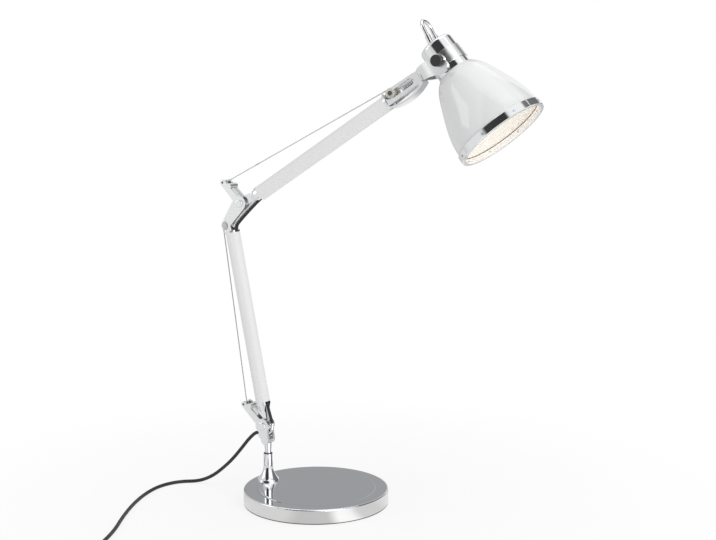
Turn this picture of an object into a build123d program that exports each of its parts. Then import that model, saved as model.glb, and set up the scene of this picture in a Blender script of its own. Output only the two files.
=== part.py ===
from build123d import *
import math
import os

# Desk lamp with a weighted round base and two arms balanced by wires and springs.
# Millimetres, +Z up, origin under the middle of the base, arms in the XZ plane with the head towards +X.

# Fits
run_fit = 0.05
slip_fit = 0.05
side_gap = 0.3

# Base
base_r = 90.0
base_h = 18.5
cover_t = 1.2
cover_edge_r = 1.6
cover_lift = 0.5
bead_r = 72.0
bead_w = 5.0
bead_h = 0.3
pad_r = 86.0
pad_h = 1.5

# Collar and swivel near the back edge of the base
post_x = -70.0
foot_r = 13.5
foot_lip = 1.5
neck_r = 5.8
flare_h = 20.5
collar_h = 34.0
tail_r = 5.0
tail_l = 15.0
nut_flats = 15.0
nut_h = 5.0
nut_recess_r = 10.0
bush_wall = 1.05
bush_flange_r = 5.5
bush_flange_h = 0.9
swivel_r = 3.5
swivel_l = 29.0

# Joint positions and resting angles
shoulder_back = 4.0
shoulder_z = 89.0
lower_angle = 101.2
elbow_past = 34.0
elbow_side = -25.0
upper_angle = 32.4
head_past = 89.8
head_side = -3.6
head_angle = -50.0

# Forks, eyes and levers
eye_r = 7.5
eye_w = 8.4
cheek_r = 9.3
cheek_t = 3.6
pivot_r = 2.5
bolt_head_r = 5.0
bolt_head_h = 1.6
stem_r = 3.9
stem_top_r = 5.3
root_x = 4.0
root_drop = 18.4
root_r = 5.4
lever_root_r = 4.8
lever_tip_r = 3.4
lower_lever_l = 37.0
lower_lever_angle = 137.0
upper_lever_l = 35.0
upper_lever_angle = 134.0
anchor_r = 1.5
bumper_r = 3.5
bumper_pin_r = 2.0
bumper_turn = -8.0
lower_bumper_out = 30.0
upper_bumper_out = 26.0

# Arm tubes
tube_side = -3.0
tube_t = 1.0
tube_start = 30.0
lower_tube_r = 9.0
lower_tube_l = 217.0
upper_tube_r = 9.5
upper_tube_l = 207.5
plug_l = 12.0
flange_l = 4.0
neck_from = 18.0
neck_start_r = 6.6
cable_r = 1.9
cable_flat = 3.4

# Balance wires, pulleys and springs
wire_r = 0.7
wire_eye_r = 2.4
pulley_r = 6.2
groove_r = 4.7
pulley_w = 5.0
axle_r = 1.5
axle_head_r = 2.6
axle_head_h = 0.9
view_gap = 1.2
pulley_rise = 4.2
lower_pulley_past = 10.0
upper_pulley_past = 10.0
inner_spring_r = 5.0
inner_spring_wall = 1.4
inner_spring_l = 110.0
spring_r = 2.9
spring_wire_r = 0.6
spring_curls = 9
spring_pitch = 1.8

# Bracket at the upper end of the lower arm
heel_r = 6.0
heel_l = 7.0
ear_r = 5.5

# Head bracket and yoke
bracket_flange = 3.0
bracket_rear_r = 8.6
bracket_front_r = 7.0
window_h = 8.0
window_end_past = 45.5
window_start_past = 18.0
bracket_past = 54.0
yoke_in_r = 22.3
yoke_t = 4.2
yoke_past = 79.5
yoke_root_r = 6.0
yoke_end_r = 7.2
yoke_skirt_r = 7.8
yoke_skirt_drop = 7.2
channel_t = 2.5
channel_drop = 9.2

# Head
ring_r = 21.5
ring_l = 16.5
ring_boss_r = 7.0
ring_boss_l = 0.5
shell_r = 20.6
shell_t = 1.2
shell_top = 24.5
shell_end = 16.2
shell_end_r = 21.0
shell_edge_r = 4.0
tilt_pin_r = 2.5
tilt_head_r = 5.0
tilt_head_h = 2.0
stud_r = 2.0
knob_r = 6.7
knob_l = 7.0
shade_t = 1.2
shade_top_r = 22.0
shade_mid_x = 44.0
shade_mid_r = 39.0
shade_low_x = 76.6
shade_low_r = 50.6
shade_l = 83.3
shade_r = 53.5
rim_r = 55.5
rim_l = 9.7
rim_lap = 1.5
rim_in_r = 51.8
rim_screw_r = 1.5
rim_screw_proud = 0.5
rim_screw_count = 8
socket_r = 16.5
socket_bore_r = 13.2
socket_back = 10.0
socket_floor = 18.0
socket_l = 44.0
socket_nut_r = 20.0
socket_nut_l = 3.0
bulb_cap_l = 24.0
bulb_r = 22.5
bulb_mid = 56.0
bulb_neck_r = 12.4
bulb_t = 0.9
handle_bar_r = 2.25
handle_gap = 10.0
handle_h = 32.5
handle_lean = 11.0
sleeve_r = 3.25
sleeve_l = 11.0
button_r = 4.5
button_proud = 3.5
button_skirt = 1.5
button_skirt_t = 1.2
switch_r = 8.0
switch_l = 8.0

# Mains cord and plug
cord_r = 2.2
grommet_r = 2.4
grommet_drop = 10.6
grommet_start = -0.5
grommet_l = 6.5
bridge_x = -2.5
bridge_drop = 12.5
bridge_r = 4.8
coil_x = -80.0
coil_y = -280.0
coil_r = 36.5
coil_turns = 4
coil_gap = 0.5
coil_dip = 1.2
coil_start = 208.0
coil_tail = 28.0
plug_body_l = 36.0
plug_w = 35.0
plug_h = 13.8
plug_neck_l = 10.0
plug_pin_r = 2.0
plug_pin_out = 19.0
plug_pin_gap = 18.6
plug_collar_r = 3.4

MIN = (Align.CENTER, Align.CENTER, Align.MIN)
in_cheek = eye_w / 2 + side_gap
out_cheek = in_cheek + cheek_t


def polar(origin, reach, angle):
    """Point at a distance and angle in degrees from an origin."""
    a = math.radians(angle)
    return (origin[0] + reach * math.cos(a), origin[1] + reach * math.sin(a))


def frame(x, z, angle):
    """Plane of an arm: x along it, y to its upper left side, z towards the near side."""
    a = math.radians(angle)
    return Plane(origin=(x, 0, z), x_dir=(math.cos(a), 0, math.sin(a)), z_dir=(0, -1, 0))


def at(plane, point):
    """Position in the row of a point given in an arm's plane."""
    v = plane.from_local_coords(Vector(point[0], point[1], 0))
    return (v.X, v.Z)


lower_tube_end = tube_start + lower_tube_l
upper_tube_end = tube_start + upper_tube_l
window_start = upper_tube_end + window_start_past
window_end = upper_tube_end + window_end_past
bracket_end = upper_tube_end + bracket_past
yoke_mid = upper_tube_end + yoke_past
head_along = upper_tube_end + head_past

stem_frame = frame(post_x - shoulder_back, shoulder_z, 0)
lower_frame = frame(post_x - shoulder_back, shoulder_z, lower_angle)
elbow = (lower_tube_end + elbow_past, elbow_side)
upper_frame = frame(*at(lower_frame, elbow), upper_angle)
head_frame = frame(*at(upper_frame, (head_along, head_side)), head_angle)
swivel_frame = Pos(post_x, 0, 0)

lower_pulley_at = (lower_tube_end + lower_pulley_past, pulley_rise)
upper_pulley_at = (upper_tube_end + upper_pulley_past, pulley_rise)
wire_bend_r = groove_r + wire_r
wire_down_y = pulley_rise - wire_bend_r
cable_y = tube_side - cable_flat - cable_r - side_gap


def taper(p, r, q, s):
    """Face bounded by two circles and the lines that touch them both."""
    turn = math.degrees(math.atan2(q[1] - p[1], q[0] - p[0]))
    lean = math.degrees(math.acos((r - s) / math.dist(p, q)))
    p_up, p_low = polar(p, r, turn + lean), polar(p, r, turn - lean)
    q_up, q_low = polar(q, s, turn + lean), polar(q, s, turn - lean)
    edges = [
        Line(p_up, q_up),
        ThreePointArc(q_up, polar(q, s, turn), q_low),
        Line(q_low, p_low),
        ThreePointArc(p_low, polar(p, r, turn + 180), p_up),
    ]
    return make_face(edges)


def disc(p, r):
    """Round face at a point of an arm's plane."""
    return Pos(p[0], p[1]) * Circle(r)


def slab(face, low, high):
    """Face of an arm's plane thickened between two heights."""
    return Pos(0, 0, low) * extrude(face, high - low, dir=(0, 0, 1))


def pair(face, low, high):
    """Two plates, one on each side of an arm's plane."""
    return slab(face, low, high) + slab(face, -high, -low)


def rod(x0, x1, y, r):
    """Cylinder along an arm."""
    return Pos(x0, y, 0) * Rot(0, 90, 0) * Cylinder(r, x1 - x0, align=MIN)


def cone(x0, x1, y, r0, r1):
    """Cone along an arm."""
    return Pos(x0, y, 0) * Rot(0, 90, 0) * Cone(r0, r1, x1 - x0, align=MIN)


def block(x0, x1, y0, y1, half):
    """Box between two lengths and two sides of an arm's plane."""
    size = (x1 - x0, y1 - y0, 2 * half)
    return Pos((x0 + x1) / 2, (y0 + y1) / 2, 0) * Box(*size)


def turned(points):
    """Solid of revolution about the local x axis from (x, radius) points joined by lines."""
    face = make_face(Polyline(*points, close=True))
    return revolve(face, Axis.X)


def tube(path, r):
    """Round bar swept along a path."""
    return sweep(Plane(origin=path @ 0, z_dir=path % 0) * Circle(r), path=path)


def bend_radii(points):
    """Largest fitting radius at each corner of a route."""
    radii = []
    for a, b, c in zip(points, points[1:], points[2:]):
        before = Vector(*b) - Vector(*a)
        after = Vector(*c) - Vector(*b)
        half_turn = math.radians(before.get_angle(after) / 2)
        radii.append(0.45 * min(before.length, after.length) / math.tan(half_turn))
    return radii


def route(points, r, name):
    """Round bar along straight runs joined by tangent arcs."""
    radii = bend_radii(points)
    path = FilletPolyline(*points, radius=radii)
    bar = tube(path, r)
    print(name, "length", round(path.length, 1), "radii", [round(v, 1) for v in radii])
    print(name, "volume over section times length", round(bar.volume / (math.pi * r * r * path.length), 4))
    return bar


def biarc(p, t, q, u):
    """Two tangent arcs from p along t to q along u."""
    v = q - p
    s = t + u
    a = 2 * (t.dot(u) - 1)
    b = v.dot(s)
    d = (b - math.sqrt(b * b - a * v.dot(v))) / a
    c0 = p + t * d
    c1 = q - u * d
    mid = (c0 + c1) * 0.5
    return [TangentArc(p, mid, tangent=t), TangentArc(mid, q, tangent=c1 - c0)]


def winding(stations, lead_in, lead_out):
    """Path through (point, tangent) stations by biarcs, with a straight lead at each end."""
    first, way = stations[0]
    edges = [Line(first - way * lead_in, first)]
    for (p, t), (q, u) in zip(stations, stations[1:]):
        edges += biarc(p, t, q, u)
    last, way = stations[-1]
    edges.append(Line(last, last + way * lead_out))
    return Wire(edges)


def least_gap(path, r, apart):
    """Smallest clear distance between stretches of a wound bar that lie apart along it."""
    count = int(path.length / r)
    dots = [path @ (i / count) for i in range(count + 1)]
    skip = max(2, int(apart / path.length * count))
    best = 1e9
    for i in range(len(dots)):
        for k in range(i + skip, len(dots)):
            best = min(best, (dots[i] - dots[k]).length)
    return best - 2 * r


def touch(point, centre, r, side):
    """Where the line from a point touches a circle, on its left (1) or right (-1) seen along the line."""
    reach = math.dist(point, centre)
    turn = math.degrees(math.atan2(point[1] - centre[1], point[0] - centre[0]))
    return polar(centre, r, turn - side * math.degrees(math.acos(r / reach)))


# Base

def make_cover():
    """Pressed dish with a raised ring, open below, pierced for the collar's tail."""
    dish = Pos(0, 0, cover_lift) * Cylinder(base_r, base_h - cover_lift, align=MIN)
    dish = fillet(dish.edges().group_by(Axis.Z)[-1], cover_edge_r)
    hollow = Pos(0, 0, cover_lift - 1) * Cylinder(base_r - cover_t, base_h - cover_t - cover_lift + 1, align=MIN)
    hollow = fillet(hollow.edges().group_by(Axis.Z)[-1], max(cover_edge_r - cover_t, 0.2))
    half = bead_w / 2
    low = base_h - cover_t / 2
    crown = [
        Line((bead_r - half, low), (bead_r - half, base_h)),
        ThreePointArc((bead_r - half, base_h), (bead_r, base_h + bead_h), (bead_r + half, base_h)),
        Line((bead_r + half, base_h), (bead_r + half, low)),
        Line((bead_r + half, low), (bead_r - half, low)),
    ]
    bead = revolve(Plane.XZ * make_face(crown), Axis.Z)
    bead -= Pos(post_x, 0, base_h) * Cylinder(foot_r + side_gap, 4 * bead_h)
    hole = Pos(post_x, 0, base_h) * Cylinder(tail_r + slip_fit, 6 * cover_t)
    return dish - hollow + bead - hole


def make_weight():
    """Iron disc under the cover, counterbored from below for the nut."""
    top = base_h - cover_t
    disc_r = base_r - cover_t - side_gap
    body = Pos(0, 0, pad_h) * Cylinder(disc_r, top - pad_h, align=MIN)
    body = chamfer(body.edges().group_by(Axis.Z)[-1], cover_edge_r)
    seat = nut_seat() - pad_h
    body -= Pos(post_x, 0, pad_h) * Cylinder(nut_recess_r, seat, align=MIN)
    return body - Pos(post_x, 0, pad_h) * Cylinder(tail_r + slip_fit, base_h, align=MIN)


def nut_seat():
    """Height of the face that the nut is drawn up against."""
    return base_h - tail_l + nut_h + 1.0


def make_collar():
    """Turned collar: lipped foot, concave flare, straight neck, blind bore and threaded tail."""
    top = base_h + collar_h
    bore = swivel_r + run_fit + bush_wall + slip_fit
    flare_top = base_h + flare_h
    lip = base_h + foot_lip
    floor = top - swivel_l - 1.0
    edges = [
        Line((0, base_h - tail_l), (tail_r, base_h - tail_l)),
        Line((tail_r, base_h - tail_l), (tail_r, base_h)),
        Line((tail_r, base_h), (foot_r, base_h)),
        Line((foot_r, base_h), (foot_r, lip)),
        TangentArc((neck_r, flare_top), (foot_r, lip), tangent=(0, -1)),
        Line((neck_r, flare_top), (neck_r, top)),
        Line((neck_r, top), (bore, top)),
        Line((bore, top), (bore, floor)),
        Line((bore, floor), (0, floor)),
        Line((0, floor), (0, base_h - tail_l)),
    ]
    return swivel_frame * revolve(Plane.XZ * make_face(edges), Axis.Z)


def make_nut():
    """Hexagon nut on the collar's tail."""
    hexagon = extrude(RegularPolygon(nut_flats / 2, 6, major_radius=False), nut_h)
    hexagon -= Cylinder(tail_r + slip_fit, 4 * nut_h)
    return Pos(post_x, 0, nut_seat() - nut_h) * hexagon


def make_bush():
    """Flanged sleeve that the fork turns in."""
    top = base_h + collar_h
    outer = swivel_r + run_fit + bush_wall
    sleeve = Pos(0, 0, top - swivel_l) * Cylinder(outer, swivel_l, align=MIN)
    sleeve += Pos(0, 0, top) * Cylinder(bush_flange_r, bush_flange_h, align=MIN)
    bore = Pos(0, 0, top - swivel_l - 1) * Cylinder(swivel_r + run_fit, swivel_l + 4, align=MIN)
    return swivel_frame * (sleeve - bore)


# Forks

def plates(pivot, root, root_radius):
    """Two cheeks from a root block to a pivot."""
    return pair(taper(pivot, cheek_r, root, root_radius), in_cheek, out_cheek)


def lever_plates(pivot, tip, bump):
    """Two lever plates from a pivot to the wire's anchor, each with an ear for the bumper."""
    arm = taper(pivot, lever_root_r, tip, lever_tip_r)
    foot = polar(pivot, math.dist(pivot, bump), math.degrees(math.atan2(tip[1] - pivot[1], tip[0] - pivot[0])))
    ear = taper(foot, lever_tip_r - 0.4, bump, bumper_r)
    return pair(arm, in_cheek, out_cheek) + pair(ear, in_cheek, out_cheek)


def cross_holes(pivot, tip, bump):
    """Bores through a fork for its bolt, anchor pin and bumper."""
    width = 4 * out_cheek
    cut = Pos(*pivot, 0) * Cylinder(pivot_r, width)
    cut += Pos(*tip, 0) * Cylinder(anchor_r, width)
    return cut + Pos(*bump, 0) * Cylinder(bumper_pin_r, width)


def make_bolt(pivot):
    """Pivot bolt with a low domed head on the near side, flush on the far side."""
    shank = Pos(*pivot, -out_cheek) * Cylinder(pivot_r - slip_fit, 2 * out_cheek, align=MIN)
    head = Pos(*pivot, out_cheek) * Cylinder(bolt_head_r, bolt_head_h, align=MIN)
    head = fillet(head.edges().group_by(Axis.Z)[-1], bolt_head_h * 0.7)
    return shank + head


def make_anchor(tip):
    """Pin across the lever's tips that the wire hooks on."""
    return Pos(*tip, 0) * Cylinder(anchor_r - slip_fit, 2 * out_cheek)


def make_bumper(bump):
    """Round stop between the lever plates, with pins through them."""
    return Pos(*bump, 0) * (Cylinder(bumper_r, 2 * in_cheek) + Cylinder(bumper_pin_r - slip_fit, 2 * out_cheek))


lower_tip = polar((0, 0), lower_lever_l, lower_lever_angle)
lower_bump = polar((0, 0), lower_bumper_out, lower_lever_angle + bumper_turn)
upper_tip = polar(elbow, upper_lever_l, upper_lever_angle - lower_angle)
upper_bump = polar(elbow, upper_bumper_out, upper_lever_angle - lower_angle + bumper_turn)
root = (root_x, -root_drop)


def make_stem():
    """Swivel pin, tapering stem, root block, two cheeks and the lever of the lower wire."""
    top = base_h + collar_h
    foot_z = top + bush_flange_h + run_fit
    root_z = shoulder_z - root_drop
    pin = Pos(0, 0, top - swivel_l + side_gap) * Cylinder(swivel_r, foot_z - top + swivel_l, align=MIN)
    stem = Pos(0, 0, foot_z) * Cone(stem_r, stem_top_r, root_z - foot_z, align=MIN)
    lower = stem_frame.to_local_coords(swivel_frame * (pin + stem))
    body = slab(disc(root, root_r), -out_cheek, out_cheek) + lower
    body += pair(disc((0, 0), cheek_r), in_cheek, out_cheek)
    body += pair(taper((root_x * 0.6, -root_r), root_r, root, root_r), in_cheek, out_cheek)
    body += lever_plates((0, 0), lower_tip, lower_bump)
    body += slab(disc((bridge_x, -bridge_drop), bridge_r), -in_cheek - 0.6, in_cheek + 0.6)
    body -= rod(bridge_x - 2 * bridge_r, bridge_x + 2 * bridge_r, -grommet_drop, grommet_r + slip_fit)
    return stem_frame * (body - cross_holes((0, 0), lower_tip, lower_bump))


# Arms

def make_knuckle(tube_r):
    """Eye, round neck, flange and plug at the lower end of an arm, with a flat for the cable."""
    half = eye_w / 2
    body = slab(taper((0, 0), eye_r, (neck_from + 2, tube_side), neck_start_r), -half, half)
    body += cone(neck_from, tube_start - flange_l, tube_side, neck_start_r, tube_r - 0.5)
    body += rod(tube_start - flange_l, tube_start, tube_side, tube_r)
    body += rod(tube_start - 1, tube_start + plug_l, tube_side, tube_r - tube_t - slip_fit)
    low = tube_side - 2 * tube_r
    body -= block(eye_r / 2, tube_start + plug_l + 1, low, tube_side - cable_flat, 3 * cable_r)
    return body - Cylinder(pivot_r - slip_fit + run_fit, 4 * half)


def make_tube(tube_r, length):
    """Thin round arm tube."""
    outer = rod(tube_start, tube_start + length, tube_side, tube_r)
    return outer - rod(tube_start - 1, tube_start + length + 1, tube_side, tube_r - tube_t)


def make_pulley():
    """Grooved wheel with a bore, about the local z axis."""
    half = pulley_w / 2
    flat = half * 0.35
    rim = half * 0.7
    bore = axle_r + run_fit
    points = [(bore, -half), (pulley_r, -half), (pulley_r, -rim), (groove_r, -flat)]
    points += [(groove_r, flat), (pulley_r, rim), (pulley_r, half), (bore, half)]
    return revolve(Plane.XZ * make_face(Polyline(*points, close=True)), Axis.Z)


def make_axle(centre):
    """Headed pulley axle, riveted in the far cheek only."""
    face = pulley_w / 2 + side_gap
    shank = Pos(*centre, -out_cheek) * Cylinder(axle_r - slip_fit, out_cheek + face, align=MIN)
    return shank + Pos(*centre, face) * Cylinder(axle_head_r, axle_head_h, align=MIN)


def pulley_view(centre):
    """Round opening in the near cheek that shows a pulley."""
    return slab(disc(centre, pulley_r + view_gap), 0, 2 * out_cheek)


def pulley_bores(centre):
    """Slot for a pulley and the hole of its axle."""
    slot = Pos(*centre, 0) * Cylinder(pulley_r + 0.8, pulley_w + 2 * side_gap)
    return slot + Pos(*centre, 0) * Cylinder(axle_r, 4 * out_cheek)


def make_elbow_bracket():
    """Plug, heel, pulley ears, cheeks and the lever of the upper wire, on top of the lower arm."""
    inner = lower_tube_r - tube_t - slip_fit
    end = lower_tube_end
    low = tube_side - 2 * lower_tube_r
    neck = rod(end - plug_l, end + 1, tube_side, inner) + rod(end, end + 2.5, tube_side, lower_tube_r)
    neck -= block(end - plug_l - 1, end + 3, low, tube_side - cable_flat, 3 * cable_r)
    heel_a = (end + heel_r - 1.5, tube_side + 2.0)
    heel_b = (heel_a[0] + heel_l, tube_side + 3.0)
    body = neck + slab(taper(heel_a, heel_r, heel_b, heel_r), -out_cheek, out_cheek)
    body += slab(taper(heel_b, heel_r, lower_pulley_at, ear_r), -out_cheek, out_cheek)
    body -= block(0, end, -99, 99, 99) - rod(end - plug_l, end, tube_side, inner)
    body += plates(elbow, heel_b, heel_r)
    body += lever_plates(elbow, upper_tip, upper_bump)
    body -= cross_holes(elbow, upper_tip, upper_bump) + pulley_bores(lower_pulley_at)
    body -= pulley_view(lower_pulley_at)
    body -= block(end - plug_l - 1, end + 3, low, tube_side - cable_flat, 3 * cable_r)
    return body - rod(end - plug_l - 1, end + lower_pulley_past, wire_down_y, 2 * wire_r)


def make_head_bracket():
    """Plug, two windowed side walls, end block and the yoke that holds the head."""
    inner = upper_tube_r - tube_t - slip_fit
    end = upper_tube_end
    rear = (end + bracket_rear_r - 2.0, tube_side + 2.5)
    front = (bracket_end - bracket_front_r, 0)
    body = pair(taper(rear, bracket_rear_r, front, bracket_front_r), in_cheek, out_cheek)
    body -= block(0, end, -99, 99, 99)
    body += rod(end - plug_l, end + 1, tube_side, inner) + rod(end, end + bracket_flange, tube_side, upper_tube_r)
    body += slab(taper((end + 3.5, tube_side), heel_r, (end + 5.0, tube_side), heel_r), -out_cheek, out_cheek) - block(
        0, end, -99, 99, 99
    )
    window = Pos((window_start + window_end) / 2, 0) * SlotOverall(window_end - window_start, window_h)
    body -= slab(window, -2 * out_cheek, 2 * out_cheek)
    body += block(window_end, bracket_end, -bracket_front_r, bracket_front_r - 0.5, out_cheek)
    run = window_end - upper_pulley_at[0]
    front = Pos(upper_pulley_at[0] + run / 2, 0) * SlotOverall(run, window_h)
    body -= pulley_bores(upper_pulley_at) + pulley_view(upper_pulley_at) + slab(front, 0, 2 * out_cheek)
    out_r = yoke_in_r + yoke_t
    reach = head_along + yoke_skirt_r - yoke_mid
    hinge = (head_along, head_side)
    skirt = (head_along, head_side - yoke_skirt_drop)
    back = (yoke_mid - out_r, 0)
    straight = Pos(yoke_mid + reach / 2, 0)
    plan = Pos(yoke_mid, 0) * Circle(out_r) + straight * Rectangle(reach, 2 * out_r)
    plan -= Pos(yoke_mid, 0) * Circle(yoke_in_r)
    plan -= Pos(yoke_mid + reach, 0) * Rectangle(2 * reach, 2 * yoke_in_r)
    side = taper(back, yoke_root_r, hinge, yoke_end_r) + taper(back, yoke_root_r, skirt, yoke_skirt_r)
    arch = extrude(Plane.XZ * plan, 4 * yoke_end_r, both=True) & slab(side, -2 * out_r, 2 * out_r)
    body += arch
    near = Pos(*hinge, yoke_in_r - 1) * Cylinder(stud_r + run_fit, yoke_t + 2, align=MIN)
    far = Pos(*hinge, -out_r - 1) * Cylinder(tilt_pin_r + run_fit, yoke_t + 2, align=MIN)
    return body - near - far


def make_channel():
    """Curved cover strip under the head bracket."""
    start = upper_tube_end + bracket_flange
    left = tube_side - upper_tube_r + channel_t + 0.6
    mid_x = (start + bracket_end) / 2
    deep = -bracket_front_r - channel_drop
    right = -bracket_front_r
    edges = [
        ThreePointArc((start, left), (mid_x, deep + channel_t), (bracket_end, right)),
        Line((bracket_end, right), (bracket_end, right - channel_t)),
        ThreePointArc((bracket_end, right - channel_t), (mid_x, deep), (start, left - channel_t)),
        Line((start, left - channel_t), (start, left)),
    ]
    return slab(make_face(edges), -out_cheek, out_cheek)


def make_inner_spring(start):
    """Closed sleeve in the place of the spring inside a tube."""
    body = rod(start, start + inner_spring_l, wire_down_y, inner_spring_r)
    return body - rod(start + 3, start + inner_spring_l - 3, wire_down_y, inner_spring_r - inner_spring_wall)


def wire_eye(anchor):
    """Ring at the end of a balance wire, round its anchor pin."""
    return Pos(*anchor, 0) * Torus(wire_eye_r, wire_r)


def make_lower_wire():
    """Wire from the stem's lever up beside the arm, over the pulley and down to the spring."""
    tip = lower_frame.to_local_coords(stem_frame.from_local_coords(Vector(*lower_tip, 0)))
    anchor = (tip.X, tip.Y)
    on = touch(anchor, lower_pulley_at, wire_bend_r, 1)
    turn = math.degrees(math.atan2(on[1] - anchor[1], on[0] - anchor[0]))
    begin = polar(anchor, wire_eye_r, turn)
    down = (lower_pulley_at[0], wire_down_y)
    mid = polar(lower_pulley_at, wire_bend_r, 0.5 * (turn + 90) + 0.5 * -90)
    spring_top = tube_start + plug_l + inner_spring_l
    path = Wire([Line(begin, on), ThreePointArc(on, mid, down), Line(down, (spring_top, wire_down_y))])
    return wire_eye(anchor) + tube(path, wire_r)


def spring_start():
    """Where the spring in the bracket's window begins."""
    return window_end - 4.0 - spring_curls * spring_pitch


def make_upper_wire():
    """Wire from the elbow's lever over the pulley and down to the spring in the bracket."""
    tip = upper_frame.to_local_coords(lower_frame.from_local_coords(Vector(*upper_tip, 0)))
    anchor = (tip.X, tip.Y)
    on = touch(anchor, upper_pulley_at, wire_bend_r, 1)
    turn = math.degrees(math.atan2(on[1] - anchor[1], on[0] - anchor[0]))
    begin = polar(anchor, wire_eye_r, turn)
    hook = (spring_start() - 2 * spring_wire_r, spring_r)
    off = touch(hook, upper_pulley_at, wire_bend_r, -1)
    leave = math.degrees(math.atan2(hook[1] - off[1], hook[0] - off[0]))
    mid = polar(upper_pulley_at, wire_bend_r, 0.5 * (turn + leave) + 90)
    path = Wire([Line(begin, on), ThreePointArc(on, mid, off), Line(off, hook)])
    return wire_eye(anchor) + tube(path, wire_r)


def make_spring():
    """Close-wound extension spring, one unbroken bar with a straight lead at each end."""
    stations = []
    rise = spring_pitch / 2
    slope = spring_pitch / (2 * math.pi * spring_r)
    for k in range(2 * spring_curls + 1):
        side = 1 if k % 2 == 0 else -1
        point = Vector(spring_start() + k * rise, side * spring_r, 0)
        stations.append((point, Vector(slope, 0, side).normalized()))
    path = winding(stations, 2 * spring_wire_r, 2 * spring_wire_r)
    print("spring least gap", round(least_gap(path, spring_wire_r, math.pi * spring_r), 2))
    return tube(path, spring_wire_r)


# Head, about its own axis from the cap towards the mouth of the shade

def make_ring():
    """Band round the lampholder with a flat boss on each side for the tilt pins."""
    half = ring_l / 2
    boss = Cylinder(ring_boss_r, 2 * (ring_r + ring_boss_l))
    body = rod(-half, half, 0, ring_r) + boss
    body -= rod(-2 * half, 2 * half, 0, shell_r + slip_fit)
    reach = ring_r + ring_boss_l
    body -= Cylinder(stud_r + run_fit, reach + 1, align=MIN)
    return body - Pos(0, 0, -reach - 1) * Cylinder(tilt_pin_r, reach + 1, align=MIN)


def make_shell():
    """Lampholder cover: rounded cap, straight wall and a flared end."""
    half = ring_l / 2
    outer = rod(-shell_top, half, 0, shell_r)
    outer = fillet(outer.edges().group_by(Axis.X)[0], shell_edge_r)
    outer += cone(half, shell_end, 0, shell_r, shell_end_r)
    inner = rod(-shell_top + shell_t, half, 0, shell_r - shell_t)
    inner = fillet(inner.edges().group_by(Axis.X)[0], max(shell_edge_r - shell_t, 0.3))
    inner += cone(half, shell_end, 0, shell_r - shell_t, shell_end_r - shell_t)
    return outer - inner - rod(-2 * shell_top, 0, 0, button_r + run_fit)


def make_tilt_pin():
    """Headed pin through the far prong of the yoke into the band."""
    out = yoke_in_r + yoke_t
    inside = shell_r + slip_fit + 0.3
    pin = Pos(0, 0, -out - side_gap) * Cylinder(tilt_pin_r - slip_fit, out + side_gap - inside, align=MIN)
    head = Pos(0, 0, -out - side_gap - tilt_head_h) * Cylinder(tilt_head_r, tilt_head_h, align=MIN)
    return pin + fillet(head.edges().group_by(Axis.Z)[0], tilt_head_h * 0.6)


def make_knob():
    """Clamping knob on the near prong, with its stud in the band's boss."""
    out = yoke_in_r + yoke_t
    inside = shell_r + slip_fit + 0.3
    head = Pos(0, 0, out + side_gap) * Cylinder(knob_r, knob_l, align=MIN)
    head = fillet(head.edges().group_by(Axis.Z)[-1], 1.2)
    return head + Pos(0, 0, inside) * Cylinder(stud_r, out + side_gap + 1 - inside, align=MIN)


def shade_curve(offset):
    """Profile of the shade, moved towards its axis."""
    top_x = shell_end
    end_x = shell_end + shade_l
    points = [(top_x, shade_top_r), (shade_mid_x, shade_mid_r), (shade_low_x, shade_low_r), (end_x, shade_r)]
    moved = []
    for k, (x, r) in enumerate(points):
        before = points[max(k - 1, 0)]
        after = points[min(k + 1, len(points) - 1)]
        run = math.dist(before, after)
        moved.append((x + offset * (after[1] - before[1]) / run, r - offset * (after[0] - before[0]) / run))
    moved[0] = (top_x, points[0][1] - offset * 1.3)
    moved[-1] = (end_x, shade_r - offset)
    return Spline(*moved, tangents=[(0.62, 0.78), (1, 0.01)])


def make_shade():
    """Spun bell with a flat seat at its neck."""
    outer = shade_curve(0)
    inner = shade_curve(shade_t)
    face = make_face([outer, inner, Line(outer @ 0, inner @ 0), Line(outer @ 1, inner @ 1)])
    seat = rod(shell_end, shell_end + shade_t, 0, shade_top_r - 0.4)
    seat -= rod(0, 2 * shell_end, 0, socket_r + slip_fit)
    return revolve(face, Axis.X) + seat


def rim_places():
    """Angles of the screws round the rim."""
    return [360 / rim_screw_count * k for k in range(rim_screw_count)]


def make_rim():
    """Rolled ring that grips the edge of the shade, with seats for its screws."""
    edge = shell_end + shade_l
    back = edge - rim_lap
    front = back + rim_l
    lip = shade_r + slip_fit
    points = [(back, lip), (back, rim_r - 0.8), (back + 0.8, rim_r), (front - 0.8, rim_r), (front, rim_r - 0.8)]
    points += [(front, rim_in_r), (edge, rim_in_r), (edge, lip)]
    body = turned(points)
    for angle in rim_places():
        body -= screw(angle, rim_screw_r + slip_fit, 4.0)
    return body


def screw(angle, r, length):
    """Radial screw head in the rim."""
    x = shell_end + shade_l - rim_lap + rim_l * 0.55
    seat = rim_r - 1.3
    return Rot(angle, 0, 0) * Pos(x, 0, seat) * Cylinder(r, length, align=MIN)


def make_rim_screws():
    """All the screw heads round the rim."""
    heads = [screw(angle, rim_screw_r, 1.3 + rim_screw_proud) for angle in rim_places()]
    return Compound(children=heads)


def make_socket():
    """Lampholder with a blind bore and a ring nut that clamps the shade."""
    seat = shell_end + shade_t
    back = -socket_back
    body = rod(back, back + socket_l, 0, socket_r) + rod(seat, seat + socket_nut_l, 0, socket_nut_r)
    return body - rod(back + socket_floor, back + socket_l + 1, 0, socket_bore_r)


def make_bulb_cap():
    """Screw cap of the bulb, standing on the floor of the lampholder."""
    start = socket_floor - socket_back
    return rod(start, start + bulb_cap_l, 0, socket_bore_r - 4 * slip_fit)


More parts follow.
